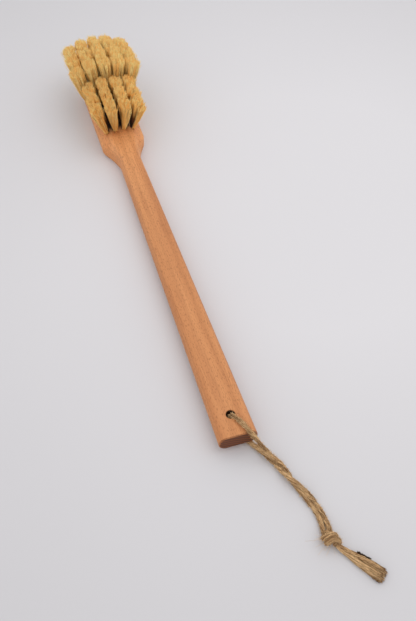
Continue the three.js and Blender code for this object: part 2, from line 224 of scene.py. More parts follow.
@dataclass(frozen=True)
class OiledBeech:
    """Planed and oiled beech: a satin warm tan with soft bands, short dark flecks and dark end grain, with
    painted light paling the head, painted shade darkening the end grain further, and painted shade between
    the tufts and in the hanging hole.
    """

    pale: str = "#D49059"
    mellow: str = "#C17D4A"
    # Painted light: a paler copy of the wood, laid over the head as it nears the tufts
    painted_light_pale: str = "#E6A167"
    painted_light_mellow: str = "#D98F54"
    fleck: str = "#864A22"
    # Real dark end grain, darkened further as painted shade on the end faces
    end_grain_and_shade_pale: str = "#7C3E06"
    end_grain_and_shade: str = "#451D00"
    # Painted shade on the wood between the tufts and in the hanging hole
    shade: str = "#36210F"
    roughness: float = 0.6
    ior: float = 1.5

    # Real flecks and pores are finer, and are drawn to show
    band: Patch = (7 * MM, 150 * MM, 2.0)
    grain: Patch = (0.9 * MM, 26 * MM, 3.0)
    dash: Patch = (0.62 * MM, 2.6 * MM, 1.0)
    pores: Patch = (0.45 * MM, 12 * MM, 2.0)
    grain_depth: float = 0.06 * MM
    grain_strength: float = 0.6

    # How the patterns show, and how far a face is turned up or endwise
    band_shows: Reach = (0.3, 0.7, 1.0)
    line_shows: Reach = (0.5, 0.8, 0.42)
    late_shows: Reach = (0.55, 1.0, 0.12)
    dash_shows: Reach = (0.57, 0.68, 0.5)
    pores_show: Reach = (0.22, 0.76, 1.0)
    pore_share: float = 0.55
    end_facing: Reach = (0.55, 0.95, 1.0)
    top_facing: Span = (0.3, 0.7)

    # Year rings, from the pith that the board was sawn beside
    ring_width: float = 2.6 * MM
    ring_draw: float = 0.04
    ring_wander: float = 2.0
    ring_detail: float = 2.0
    ring_detail_scale: float = 0.6
    pith: Span = (-15 * MM, -34 * MM)

    # Places along and across the brush: where the head's painted light comes in, and where the painted shade
    # lies between the tufts and in the hanging hole
    painted_light_fade: Span = (0.0, 0.0)
    tuft_rows: Span = (0.0, 0.0)
    tuft_side: float = 15 * MM
    tuft_ease: float = 4 * MM
    bore_middle: float = 0.0
    bore_radius: float = 3.2 * MM
    bore_ease: float = 0.25 * MM

    def painted_shade_mask(self, tree: Tree) -> Socket:
        """Marks the painted shade on the wood between the tufts and in the hanging hole.

        Args:
            tree: The material's node tree.

        Returns:
            1 between the tufts and in the hole, and 0 elsewhere.
        """
        coords = add_node(tree, "TexCoord").outputs
        across, along, _ = add_node(tree, "SeparateXYZ", {0: coords["Object"]}).outputs
        facing_up = add_node(tree, "SeparateXYZ", {0: coords["Normal"]}).outputs["Z"]
        side = add_node(tree, "Math", {0: across}, operation="ABSOLUTE").outputs[0]
        flat = add_node(tree, "CombineXYZ", {"X": across, "Y": along}).outputs[0]
        middle = (0.0, self.bore_middle, 0.0)
        far = add_node(tree, "VectorMath", {0: flat, 1: middle}, operation="DISTANCE").outputs["Value"]
        front, back = self.tuft_rows
        bounds = (
            (side, self.tuft_side, self.tuft_side - self.tuft_ease),
            (along, front, front + self.tuft_ease),
            (along, back, back - self.tuft_ease),
            (facing_up, *self.top_facing),
            (far, self.bore_radius + self.bore_ease, self.bore_radius),
        )
        among, *others, bore = (
            add_node(tree, "MapRange", {"Value": value, "From Min": outer, "From Max": inner}).outputs[0]
            for value, outer, inner in bounds
        )
        for other in others:
            among = add_node(tree, "Math", {0: among, 1: other}, operation="MULTIPLY").outputs[0]
        return add_node(tree, "Math", {0: among, 1: bore}, operation="MAXIMUM").outputs[0]

    def rings(self, tree: Tree) -> Socket:
        """Adds the year rings of a board sawn from beside the pith.

        Args:
            tree: The material's node tree.

        Returns:
            The rings' value, from 0 to 1.
        """
        across, below = self.pith
        place = add_node(tree, "TexCoord").outputs["Object"]
        drawn = {"Vector": place, "Location": (-across, 0.0, -below), "Scale": (1.0, self.ring_draw, 1.0)}
        shape = {
            "Vector": add_node(tree, "Mapping", drawn).outputs[0],
            "Scale": WAVE_LENGTH / self.ring_width,
            "Distortion": self.ring_wander,
            "Detail": self.ring_detail,
            "Detail Scale": self.ring_detail_scale,
        }
        return add_node(tree, "TexWave", shape, wave_type="RINGS", rings_direction="Y").outputs["Fac"]

    def material(self) -> Material:
        """Builds the finish.

        Returns:
            The material.
        """
        material, tree, shader = new_material("oiled_beech")
        ring = self.rings(tree)
        coords = add_node(tree, "TexCoord").outputs
        place = coords["Object"]
        patches = (self.band, self.grain, self.dash, self.pores)
        band, grain, dash, pores = (stretched(tree, place, patch) for patch in patches)
        along = add_node(tree, "SeparateXYZ", {0: place}).outputs["Y"]
        facing = add_node(tree, "SeparateXYZ", {0: coords["Normal"]}).outputs["Y"]
        endwise = add_node(tree, "Math", {0: facing}, operation="ABSOLUTE").outputs[0]
        mottled = add_node(tree, "Mix", {0: self.pore_share, VALUE_A: ring, VALUE_B: pores}).outputs[0]
        patterns = (
            (band, self.band_shows),
            (along, (*self.painted_light_fade, 1.0)),
            (grain, self.line_shows),
            (ring, self.late_shows),
            (dash, self.dash_shows),
            (endwise, self.end_facing),
            (mottled, self.pores_show),
        )
        tone, head, line, late, mark, end, sawn = (
            add_node(
                tree, "MapRange", {"Value": value, "From Min": low, "From Max": high, "To Max": most}
            ).outputs[0]
            for value, (low, high, most) in patterns
        )
        # The plain wood, its paler copy for the head's painted light, and the end grain with its painted
        # shade
        pairs = (
            {0: tone, COLOUR_A: linear(self.pale), COLOUR_B: linear(self.mellow)},
            {0: tone, COLOUR_A: linear(self.painted_light_pale), COLOUR_B: linear(self.painted_light_mellow)},
            {0: sawn, COLOUR_A: linear(self.end_grain_and_shade_pale), COLOUR_B: linear(self.end_grain_and_shade)},
        )
        colour, light, ends = (
            add_node(tree, "Mix", pair, data_type="RGBA").outputs[COLOUR_OUT] for pair in pairs
        )
        # Over the plain wood: the head's painted light, the flecks, the end grain with its painted shade, and
        # the painted shade between the tufts and in the hole
        layers = (
            (head, light),
            (line, linear(self.fleck)),
            (late, linear(self.fleck)),
            (mark, linear(self.fleck)),
            (end, ends),
            # Painted shade between the tufts and in the hole
            (self.painted_shade_mask(tree), linear(self.shade)),
        )
        for share, over in layers:
            mix = {0: share, COLOUR_A: colour, COLOUR_B: over}
            colour = add_node(tree, "Mix", mix, data_type="RGBA").outputs[COLOUR_OUT]
        relief = {"Height": grain, "Distance": self.grain_depth, "Strength": self.grain_strength}
        bump = add_node(tree, "Bump", relief).outputs[0]
        finish = {"Base Color": colour, "Normal": bump, "Roughness": self.roughness, "IOR": self.ior}
        feed(tree, shader, finish)
        return material


@dataclass(frozen=True)
class PlantFibre:
    """Dry cut plant fibre: matt straw to tan, each lock its own tone, with painted shade deep among the
    tufts.
    """

    tan: str = "#FFBA58"
    straw: str = "#FFE598"
    # Painted shade: brown, then near black, as a fibre lies deeper among the tufts
    shadow: str = "#7A4214"
    deep: str = "#21140A"
    shadow_depth: Span = (0.0, 0.55)
    deep_depth: Span = (0.45, 0.9)
    roughness: float = 0.62

    def material(self) -> Material:
        """Builds the finish.

        Returns:
            The material.
        """
        material, tree, shader = new_material("plant_fibre")
        tone, depth = (
            add_node(tree, "Attribute", attribute_name=name).outputs["Fac"] for name in ("tone", "depth")
        )
        half, lower = (
            add_node(tree, "MapRange", {"Value": depth, "From Min": low, "From Max": high}).outputs[0]
            for low, high in (self.shadow_depth, self.deep_depth)
        )
        # Tan to straw by tone, then the painted shade by depth
        colour: Any = linear(self.tan)
        for share, over in ((tone, self.straw), (half, self.shadow), (lower, self.deep)):
            mix = {0: share, COLOUR_A: colour, COLOUR_B: linear(over)}
            colour = add_node(tree, "Mix", mix, data_type="RGBA").outputs[COLOUR_OUT]
        feed(tree, shader, {"Base Color": colour, "Roughness": self.roughness})
        return material


@dataclass(frozen=True)
class TwistedJute:
    """Plied jute twine: matt brown-tan, streaked along its yarns, with pale loose hairs."""

    brown: str = "#875E36"
    pale: str = "#F2CC98"
    dark_fibres: str = "#38220F"
    streak: Patch = (0.35 * MM, 5 * MM, 3.0)  # real fibres are finer, and are drawn to show
    streak_depth: float = 0.12 * MM
    pale_shows: Span = (0.65, 1.25)
    roughness: float = 0.85

    def material(self) -> Material:
        """Builds the finish.

        Returns:
            The material.
        """
        material, tree, shader = new_material("twisted_jute")
        streak = stretched(tree, add_node(tree, "UVMap", uv_map="lie").outputs[0], self.streak)
        tone = add_node(tree, "Attribute", attribute_name="tone").outputs["Fac"]
        both = add_node(tree, "Math", {0: streak, 1: tone}, operation="ADD").outputs[0]
        share, dark = (
            add_node(tree, "MapRange", {"Value": value, "From Min": low, "From Max": high}).outputs[0]
            for value, low, high in ((both, *self.pale_shows), (tone, 0.0, DARK_FIBRE_TONE))
        )
        colour: Any = linear(self.brown)
        for factor, over in ((share, self.pale), (dark, self.dark_fibres)):
            mix = {0: factor, COLOUR_A: colour, COLOUR_B: linear(over)}
            colour = add_node(tree, "Mix", mix, data_type="RGBA").outputs[COLOUR_OUT]
        bump = add_node(tree, "Bump", {"Height": streak, "Distance": self.streak_depth}).outputs[0]
        feed(tree, shader, {"Base Color": colour, "Normal": bump, "Roughness": self.roughness})
        return material


@dataclass(frozen=True)
class DrawnWire:
    """Flat drawn steel wire: bright, with fine lines along its length."""

    steel: str = "#C4C6C8"
    dull: str = "#8E9195"
    line: Patch = (0.12 * MM, 3 * MM, 2.0)  # real lines are finer, and are drawn to show
    roughness: float = 0.38

    def material(self) -> Material:
        """Builds the finish.

        Returns:
            The material.
        """
        material, tree, shader = new_material("drawn_steel_wire")
        noise = stretched(tree, add_node(tree, "TexCoord").outputs["Object"], self.line)
        mix = {0: noise, COLOUR_A: linear(self.steel), COLOUR_B: linear(self.dull)}
        colour = add_node(tree, "Mix", mix, data_type="RGBA").outputs[COLOUR_OUT]
        feed(tree, shader, {"Base Color": colour, "Metallic": 1.0, "Roughness": self.roughness})
        return material


@dataclass(frozen=True)
class MattPaper:
    """The floor: pale matt paper with a faint cloudy tone, and painted light that dims away from one place.
    """

    pale: str = "#DAD8DB"
    painted_falloff_grey: str = "#C8C6C9"
    cloud: float = 180 * MM
    cloud_detail: float = 1.0
    cloud_share: float = 0.12
    # Painted light: the floor is palest round this place and greyer beyond it, as light falls off
    painted_light_middle: Point = (0.0, 0.0, 0.0)
    fade: Span = (140 * MM, 430 * MM)
    roughness: float = 0.9
    gloss: float = 0.2

    def material(self) -> Material:
        """Builds the finish.

        Returns:
            The material.
        """
        material, tree, shader = new_material("matt_paper")
        place = add_node(tree, "TexCoord").outputs["Object"]
        cloud = {"Vector": place, "Scale": 1 / self.cloud, "Detail": self.cloud_detail}
        noise = add_node(tree, "TexNoise", cloud).outputs["Fac"]
        # Painted light falloff: greyer with distance from the palest place
        between = {0: place, 1: self.painted_light_middle}
        far = add_node(tree, "VectorMath", between, operation="DISTANCE").outputs["Value"]
        near, edge = self.fade
        fall = add_node(tree, "MapRange", {"Value": far, "From Min": near, "From Max": edge}).outputs[0]
        share = add_node(tree, "Mix", {0: self.cloud_share, VALUE_A: fall, VALUE_B: noise}).outputs[0]
        mix = {0: share, COLOUR_A: linear(self.pale), COLOUR_B: linear(self.painted_falloff_grey)}
        colour = add_node(tree, "Mix", mix, data_type="RGBA").outputs[COLOUR_OUT]
        finish = {"Base Color": colour, "Roughness": self.roughness, "Specular IOR Level": self.gloss}
        feed(tree, shader, finish)
        return material


# Meshes made of many copies


class Gatherer:
    """Gathers points and faces with their tones, depths of painted shade and lies into one mesh."""

    def __init__(self) -> None:
        """Starts empty."""
        self.points: list[np.ndarray] = []
        self.faces: list[np.ndarray] = []
        self.tones: list[np.ndarray] = []
        self.depths: list[np.ndarray] = []
        self.lies: list[np.ndarray] = []
        self.count = 0

    def add(
        self,
        points: np.ndarray,
        faces: Sequence[np.ndarray],
        tone: np.ndarray,
        depth: np.ndarray,
        lie: np.ndarray,
    ) -> None:
        """Adds one stretch of surface.

        Args:
            points: Places, one row each.
            faces: Arrays of corner numbers, each with one row per face.
            tone: Lightness share of each point.
            depth: How much painted shade each point takes for lying deep among its neighbours, from 0 to 1.
            lie: Distance round and along the strand of each point, in metres.
        """
        self.points.append(points)
        self.faces.extend(part + self.count for part in faces if len(part))
        self.tones.append(tone)
        self.depths.append(depth)
        self.lies.append(lie)
        self.count += len(points)

    def make(self, name: str) -> Piece:
        """Makes the mesh object.

        Args:
            name: The piece's name.

        Returns:
            The new object, at the origin.
        """
        points = np.concatenate(self.points)
        corners = np.concatenate([part.ravel() for part in self.faces])
        totals = np.concatenate([np.full(len(part), part.shape[1]) for part in self.faces])
        starts = np.concatenate([[0], np.cumsum(totals)[:-1]])
        mesh = bpy.data.meshes.new(name)
        mesh.vertices.add(len(points))
        mesh.vertices.foreach_set("co", points.astype(np.float32).ravel())
        mesh.loops.add(len(corners))
        mesh.loops.foreach_set("vertex_index", corners.astype(np.int32))
        mesh.polygons.add(len(totals))
        mesh.polygons.foreach_set("loop_start", starts.astype(np.int32))
        mesh.update(calc_edges=True)
        # The depth attribute carries the fibres' painted shade
        for title, values in (("tone", self.tones), ("depth", self.depths)):
            shares = mesh.attributes.new(title, "FLOAT", "POINT")
            shares.data.foreach_set("value", np.concatenate(values).astype(np.float32))
        lies = np.concatenate(self.lies)[corners]
        mesh.uv_layers.new(name="lie").data.foreach_set("uv", lies.astype(np.float32).ravel())
        piece = bpy.data.objects.new(name, mesh)
        bpy.context.scene.collection.objects.link(piece)
        mesh.validate()
        return piece


@dataclass(frozen=True)
class FibreBlank:
    """One fibre, modelled once as a three-sided rod of unit length and then copied along many lines."""

    sides: int = 3
    steps: int = 4
    steep: float = 0.9  # a fibre nearer to the X axis than this is turned by the Y axis

    @property
    def shares(self) -> np.ndarray:
        """The steps' places along the rod, from 0 to 1."""
        return np.linspace(0, 1, self.steps + 1)

    def model(self) -> tuple[np.ndarray, list[np.ndarray]]:
        """Models the rod.

        Returns:
            Its points, and its three-cornered and four-cornered faces.
        """
        deselect_all()
        bpy.ops.mesh.primitive_circle_add(vertices=self.sides, radius=1.0, fill_type="NGON")
        rod = bpy.context.object
        bpy.ops.object.mode_set(mode="EDIT")
        bpy.ops.mesh.select_all(action="SELECT")
        for _ in range(self.steps):
            bpy.ops.mesh.extrude_region_move(TRANSFORM_OT_translate={"value": (0.0, 0.0, 1.0 / self.steps)})
        bpy.ops.mesh.select_all(action="SELECT")
        bpy.ops.mesh.normals_make_consistent(inside=False)
        bpy.ops.object.mode_set(mode="OBJECT")
        points = np.array([v.co[:] for v in rod.data.vertices])
        corners = [tuple(face.vertices) for face in rod.data.polygons]
        faces = [np.array([c for c in corners if len(c) == size]) for size in (3, 4)]
        bpy.data.objects.remove(rod)
        return points, faces

    def copy_along(
        self,
        gatherer: Gatherer,
        lines: np.ndarray,
        thick: float | np.ndarray,
        tip: float,
        tones: np.ndarray,
        depths: np.ndarray | None = None,
    ) -> None:
        """Copies the rod along lines.

        Args:
            gatherer: The mesh that takes the copies.
            lines: For each fibre the places of its steps, root first.
            thick: The root's radius, for all fibres, for each or for each step.
            tip: The tip's radius, as a share of that.
            tones: Each fibre's tone, or its tones at each step.
            depths: For each fibre the depth of painted shade at each step, or nothing where all lie open.
        """
        points, faces = self.model()
        radii = np.broadcast_to(thick * np.linspace(1, tip, self.steps + 1), lines.shape[:2])
        step = np.rint(points[:, 2] * self.steps).astype(int)
        heading = lines[:, -1] - lines[:, 0]
        heading /= np.linalg.norm(heading, axis=1, keepdims=True)
        helper = np.where(np.abs(heading[:, :1]) < self.steep, [[1.0, 0.0, 0.0]], [[0.0, 1.0, 0.0]])
        side = np.cross(heading, helper)
        side /= np.linalg.norm(side, axis=1, keepdims=True)
        other = np.cross(heading, side)
        spread = points[None, :, 0:1] * side[:, None] + points[None, :, 1:2] * other[:, None]
        placed = lines[:, step] + radii[:, step, None] * spread
        many = len(lines)
        offsets = (np.arange(many) * len(points))[:, None, None]
        copies = [(part[None] + offsets).reshape(-1, part.shape[1]) for part in faces]
        tone = np.broadcast_to(tones.reshape(many, -1), radii.shape)[:, step].ravel()
        depth = np.zeros_like(tone) if depths is None else depths[:, step].ravel()
        lie = np.zeros((many * len(points), 2))
        gatherer.add(placed.reshape(-1, 3), copies, tone, depth, lie)


# The wooden body


@dataclass
class BrushBody:
    """The one-piece beech handle and head: the drilled CAD solid, merged and smoothly shaded."""

    first_row: str = "anchor_low_r1_c2"
    last_row: str = "anchor_tall_r3_c3"
    bore_place: float = 17.7 * MM
    painted_light_fade: Span = (90 * MM, 10 * MM)
    weld: float = 0.004 * MM
    crease: float = math.radians(18)

    def finish(self) -> OiledBeech:
        """Places the wood's finish: painted light paler towards the head, and painted shade from the first
        row to the last.

        Returns:
            The finish.
        """
        boxes = (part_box(self.first_row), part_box(self.last_row))
        front, back = ((low[1] + high[1]) / 2 for low, high in boxes)
        start, full = (front - before for before in self.painted_light_fade)
        return OiledBeech(
            painted_light_fade=(start, full), tuft_rows=(front, back), bore_middle=handle_end() + self.bore_place
        )

    def build(self) -> Piece:
        """Copies, merges and shades the solid.

        Returns:
            The body.
        """
        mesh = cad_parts[WOOD].data.copy()
        body = bpy.data.objects.new("beech_body", mesh)
        bpy.context.scene.collection.objects.link(body)
        only(body)
        bpy.ops.object.mode_set(mode="EDIT")
        bpy.ops.mesh.select_all(action="SELECT")
        bpy.ops.mesh.remove_doubles(threshold=self.weld)
        bpy.ops.object.mode_set(mode="OBJECT")
        bpy.ops.object.shade_smooth_by_angle(angle=self.crease)
        return body

    def make(self) -> list[Piece]:
        """Builds, dresses and seats the body.

        Returns:
            The body alone.
        """
        body = self.build()
        dress(body, self.finish().material())
        seat(body, WOOD)
        return [body]


# The tufts and their anchors


@dataclass(frozen=True)
class TuftStyle:
    """What sets the low and the tall tufts apart; pairs are across and along the brush."""

    rows: int
    columns: int
    fibres: int
    flare: Span
    spread: Span
    tones: Span
    # how much painted shade the shorter locks take at their tips
    pit_shade: float


STYLES = {
    Trim.LOW: TuftStyle(3, 4, 700, flare=(1.1, 0.62), spread=(0.82, 1.25), tones=(0.0, 0.95), pit_shade=0.22),
    Trim.TALL: TuftStyle(3, 5, 900, flare=(0.6, 0.6), spread=(0.86, 1.4), tones=(0.16, 1.1), pit_shade=0.13),
}


@dataclass(frozen=True)
class TuftPlace:
    """Where one tuft stands, measured on its CAD solids in metres, and how it is trimmed.

    Its open sides are the way that it looks out of the field, across and along, and 0 where neighbours
    stand on both sides.
    """

    foot: np.ndarray
    turn: np.ndarray
    length: float
    half_width: float
    half_length: float
    style: TuftStyle
    open_sides: np.ndarray


@dataclass
class TuftField:
    """Every tuft as a bundle of single fibres fanning out of its hole, and the wire anchors under them."""

    anchor_depth: float = 4.6 * MM
    root_depth: float = 5.5 * MM
    root_radius: float = 2.45 * MM
    root_fill: float = 0.85
    root_scatter: float = 0.25
    collar: float = 0.8 * MM
    fibre_radius: float = 0.18 * MM  # real fibres are finer, and are drawn to show
    fibre_range: Span = (0.8, 1.25)
    tip_share: float = 0.85
    bend_heights: tuple[float, ...] = (0.0, 0.4, 0.8, 1.0)
    tip_jitter: float = 0.45 * MM
    dome: float = 1.2 * MM
    ragged: float = 0.7 * MM
    wave: float = 0.55 * MM
    own_wave: float = 0.55 * MM / 3
    squareness: float = 3.0

    # Locks of fibres that cling together, some of them shorter and with painted shade at their tips
    locks: int = 130
    lock_radius: float = 0.3 * MM
    lock_ragged: float = 0.65 * MM
    lock_tone: float = 0.75
    lock_contrast: float = 0.5
    pit_share: float = 0.14
    pit_drop: float = 0.7 * MM
    pit_bottom: float = 0.8

    # Fibres that stand out of their lock, furthest where the tuft looks out of the field
    stray_share: float = 0.28
    stray_lean: float = 1.5 * MM
    stray_limit: float = 1.3
    inner_lean: float = 0.45

    # Painted shade on the fibres: how far up from the roots it reaches, and how far in from an open side
    # fibres stay clear of it
    shade_reach: float = 0.74
    shade_power: float = 0.6
    light_reach: float = 2.6

    seed: int = 417
    blank: FibreBlank = field(default_factory=FibreBlank)
    fibre: PlantFibre = field(default_factory=PlantFibre)
    wire: DrawnWire = field(default_factory=DrawnWire)

    def labels(self) -> list[str]:
        """The tufts' labels, such as low_r1_c1, in order."""
        return sorted(name.removeprefix("tuft_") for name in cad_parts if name.startswith("tuft_"))

    def open_sides(self, label: str) -> np.ndarray:
        """Finds which way a tuft looks out of the field.

        Args:
            label: The tuft's row and column.

        Returns:
            -1, 0 or 1 across and along, 0 where neighbours stand on both sides.
        """
        group, row, column = label.split("_")
        trim = Trim(group)
        across = {1: -1.0, STYLES[trim].columns: 1.0}.get(int(column[1:]), 0.0)
        front = int(row[1:]) == 1
        back = trim is Trim.TALL and int(row[1:]) == STYLES[trim].rows
        return np.array([across, float(back) - float(front)])

    def place(self, label: str) -> TuftPlace:
        """Measures one tuft.

        Args:
            label: The tuft's row and column.

        Returns:
            Its place and sizes.
        """
        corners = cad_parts[f"tuft_{label}"].data.vertices
        points = np.array([v.co[:] for v in corners])
        low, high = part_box(f"anchor_{label}")
        anchor = (np.array(low) + np.array(high)) / 2
        axis = points.mean(axis=0) - anchor
        for _ in range(2):
            axis /= np.linalg.norm(axis)
            rise = (points - anchor) @ axis
            axis = points[rise > rise.max() - self.dome].mean(axis=0) - anchor
        axis /= np.linalg.norm(axis)
        turn = np.array(Vector(UP).rotation_difference(Vector(axis)).to_matrix())
        foot = anchor + axis * self.anchor_depth
        local = (points - foot) @ turn
        half_width, half_length, _ = np.abs(local).max(axis=0)
        style = STYLES[Trim(label.split("_")[0])]
        sides = self.open_sides(label)
        return TuftPlace(foot, turn, local[:, 2].max(), half_width, half_length, style, sides)

    def disc(self, count: int, rng: Draws) -> np.ndarray:
        """Draws even random places in a disc.

        Args:
            count: How many places.
            rng: The tuft's own random draws.

        Returns:
            The places, within 1 of the middle.
        """
        share = np.sqrt(rng.random((count, 1)))
        around = rng.random(count) * math.tau
        return share * np.stack([np.cos(around), np.sin(around)], axis=1)

    def squared(self, across: np.ndarray) -> np.ndarray:
        """Draws places in a disc out towards the corners of a square.

        Args:
            across: The places, within 1 of the middle.

        Returns:
            The places in an outline between a disc and a square.
        """
        far = np.maximum(np.linalg.norm(across, axis=1, keepdims=True), TINY)
        power = self.squareness
        return across / (np.abs(across / far) ** power).sum(axis=1, keepdims=True) ** (1 / power)

    def lines(self, place: TuftPlace, rng: Draws) -> tuple[np.ndarray, np.ndarray, np.ndarray]:
        """Lays the fibres of one tuft, gathered in locks.

        Args:
            place: The tuft's place and sizes.
            rng: The tuft's own random draws.

        Returns:
            For each fibre the places of its steps, root first, its tone, and its painted shade at each step.
        """
        style = place.style
        count = style.fibres
        lock = rng.integers(0, self.locks, count)
        across = self.disc(self.locks, rng)[lock]
        size = np.array([place.half_width, place.half_length]) * style.spread
        crown = self.squared(across) * size + rng.normal(0, self.lock_radius, (count, 2))
        stray = (rng.random(count) < self.stray_share)[:, None]
        lean = np.where(place.open_sides, 1.0, self.inner_lean) * self.stray_lean
        crown += stray * np.clip(rng.normal(0, 1, (count, 2)), -self.stray_limit, self.stray_limit) * lean
        root = (across + self.disc(count, rng) * self.root_scatter) * self.root_radius * self.root_fill
        top = place.length - self.dome * (across**2).sum(axis=1) + rng.normal(0, self.ragged, count)
        top += rng.normal(0, self.lock_ragged, self.locks)[lock]
        pit = (rng.random(self.locks) < self.pit_share)[lock]
        top -= self.pit_drop * pit
        bend = rng.normal(0, self.wave, (self.locks, 2))[lock] + rng.normal(0, self.own_wave, (count, 2))
        steps = [np.column_stack([root, np.full(count, -self.root_depth)])]
        for height in self.bend_heights:
            flare = height ** np.array(style.flare)
            flat = root * (1 - flare) + crown * flare + bend * math.sin(math.pi * height)
            if height == self.bend_heights[-1]:
                flat += rng.normal(0, self.tip_jitter, (count, 2))
            steps.append(np.column_stack([flat, self.collar + (top - self.collar) * height]))
        local = np.stack(steps, axis=1)
        tone = self.lock_tone * rng.beta(self.lock_contrast, self.lock_contrast, self.locks)[lock]
        tone += (1 - self.lock_tone) * rng.random(count)
        darkest, palest = style.tones
        tone = darkest + (palest - darkest) * tone
        # Painted shade: fibres that face into the field darken towards their roots
        exposure = np.clip((across * place.open_sides).sum(axis=1) * self.light_reach, 0, 1)
        rise = np.array([0.0, *self.bend_heights])
        depth = (1 - exposure)[:, None] * np.clip(1 - rise / self.shade_reach, 0, 1) ** self.shade_power
        # Painted shade at the tips of the shorter locks
        depth = np.maximum(depth, style.pit_shade * pit[:, None] * (rise >= self.pit_bottom))
        return local @ place.turn.T + place.foot, tone, depth

    def make_tuft(self, label: str, number: int, material: Material) -> Piece:
        """Builds, dresses and seats one tuft.

        Args:
            label: The tuft's row and column.
            number: Its number in the field, which seeds its draws.
            material: The fibre finish.

        Returns:
            The bundle of fibres.
        """
        rng = np.random.default_rng(self.seed + number)
        lines, tone, depth = self.lines(self.place(label), rng)
        thick = self.fibre_radius * rng.uniform(*self.fibre_range, (len(lines), 1))
        gatherer = Gatherer()
        self.blank.copy_along(gatherer, lines, thick, self.tip_share, tone, depth)
        tuft = gatherer.make(f"fibres_{label}")
        dress(tuft, material)
        seat(tuft, f"tuft_{label}")
        return tuft

    def make(self) -> list[Piece]:
        """Makes every tuft and dresses every anchor.

        Returns:
            Each tuft with its anchor after it.
        """
        fibre = self.fibre.material()
        wire = self.wire.material()
        pieces = []
        for number, label in enumerate(self.labels()):
            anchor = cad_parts[f"anchor_{label}"]
            dress(anchor, wire)
            pieces += [self.make_tuft(label, number, fibre), anchor]
        return pieces


# The hanging cord


@dataclass(frozen=True)
class Run:
    """One run of the cord: its node, its route from the handle's end in mm, and its ends."""

    node: str
    route: tuple[Point, ...]
    far_end: FarEnd
    fray: float = 0.0
    dark_fibres: bool = False


UPPER_LEG = Run(
    "cord_upper_leg",
    (
        (0, 17.7, 11.9), (0, 17.7, 15.4), (0.4, 16.9, 18.3), (1.4, 14.8, 20.1), (3.6, 10.8, 20.3),
        (6.4, 3.6, 20.2), (9, -3.2, 19.2), (12.3, -8.8, 15.6), (15.9, -13.3, 11.4), (19.6, -17.2, 7.6),
        (23.3, -21.2, 4.8), (25.7, -26.8, 2.4), (26.1, -34, 1.9), (27.7, -41.9, 1.9), (29.4, -48.6, 1.9),
        (31.3, -54.9, 1.9), (32.8, -61.2, 1.9), (33.1, -67.1, 1.9), (32.6, -72.4, 2.3), (32, -76.9, 3.6),
    ),
    FarEnd.KNOT,
)
LOWER_LEG = Run(
    "cord_lower_leg",
    (
        (0, 17.7, 11.6), (0, 17.7, 7.6), (0.5, 16.8, 3.4), (1.8, 14.2, 2), (4.6, 9.4, 1.9),
        (7.4, 4.4, 1.9), (10.2, -0.3, 1.9), (12.8, -5.2, 1.9), (15.2, -10.2, 1.9), (17.9, -15.9, 1.9),
        (19.9, -22, 2.4), (22, -29, 4.8), (25.4, -35.8, 6.1), (28.9, -41.2, 6), (32.3, -45.8, 4.9),
        (34.6, -51, 2.9), (36.2, -57.4, 1.9), (37.2, -64, 1.9), (37.1, -70.5, 2.3), (36.1, -76.6, 3.6),
    ),
    FarEnd.KNOT,
)
LEFT_TAIL = Run(
    "cord_left_tail",
    (
        (34.6, -87.6, 3.4), (38.2, -91.9, 2.4), (42.3, -96.8, 1.9), (46.3, -102.1, 1.9), (49.8, -107, 1.9),
        (52.5, -111.1, 1.9), (55, -115.2, 1.9),
    ),
    FarEnd.BARE,
    fray=1.0,
)
RIGHT_TAIL = Run(
    "cord_right_tail",
    (
        (38.4, -85.4, 4.6), (42.2, -90, 3.4), (46.2, -94.8, 2.2), (49.8, -99.6, 1.9), (53.1, -104.3, 1.9),
        (55.8, -108.4, 1.9), (58.2, -112.4, 1.9),
    ),
    FarEnd.BARE,
    fray=1.0,
    dark_fibres=True,
)

BESIDE = {UPPER_LEG: LOWER_LEG, LOWER_LEG: UPPER_LEG, LEFT_TAIL: RIGHT_TAIL, RIGHT_TAIL: LEFT_TAIL}


def lengths(line: np.ndarray) -> np.ndarray:
    """Distance along a line of evenly spaced points, at each of them."""
    return np.arange(len(line)) * np.linalg.norm(line[1] - line[0])


@dataclass(frozen=True)
class Strand:
    """One run of cord as it is laid up: the mesh that takes it, its own random draws and its centre line.

    Each point of the line has a heading, two side directions, how far the run has come apart there and its
    plies' radius.
    """

    gatherer: Gatherer
    rng: Draws
    line: np.ndarray
    heading: np.ndarray
    first: np.ndarray
    second: np.ndarray
    loose: np.ndarray
    radius: np.ndarray

    @property
    def along(self) -> np.ndarray:
        """Distance along the line at each point."""
        return lengths(self.line)

    def around(self, angle: np.ndarray, at: np.ndarray | slice = slice(None)) -> np.ndarray:
        """Directions out of the line.

        Args:
            angle: The turn from the first side direction at each point.
            at: The points' numbers, all of them in order unless given.

        Returns:
            Unit directions.
        """
        return np.cos(angle)[..., None] * self.first[at] + np.sin(angle)[..., None] * self.second[at]

    def steps_at(self, where: np.ndarray) -> tuple[np.ndarray, np.ndarray]:
        """Finds places along the line.

        Args:
            where: Distances along it.

        Returns:
            The number of the point before each place, and the share of the step beyond it.
        """
        index = np.clip(where / self.along[1], 0, len(self.line) - END_STEP)
        low = index.astype(int)
        return low, (index - low)[..., None]


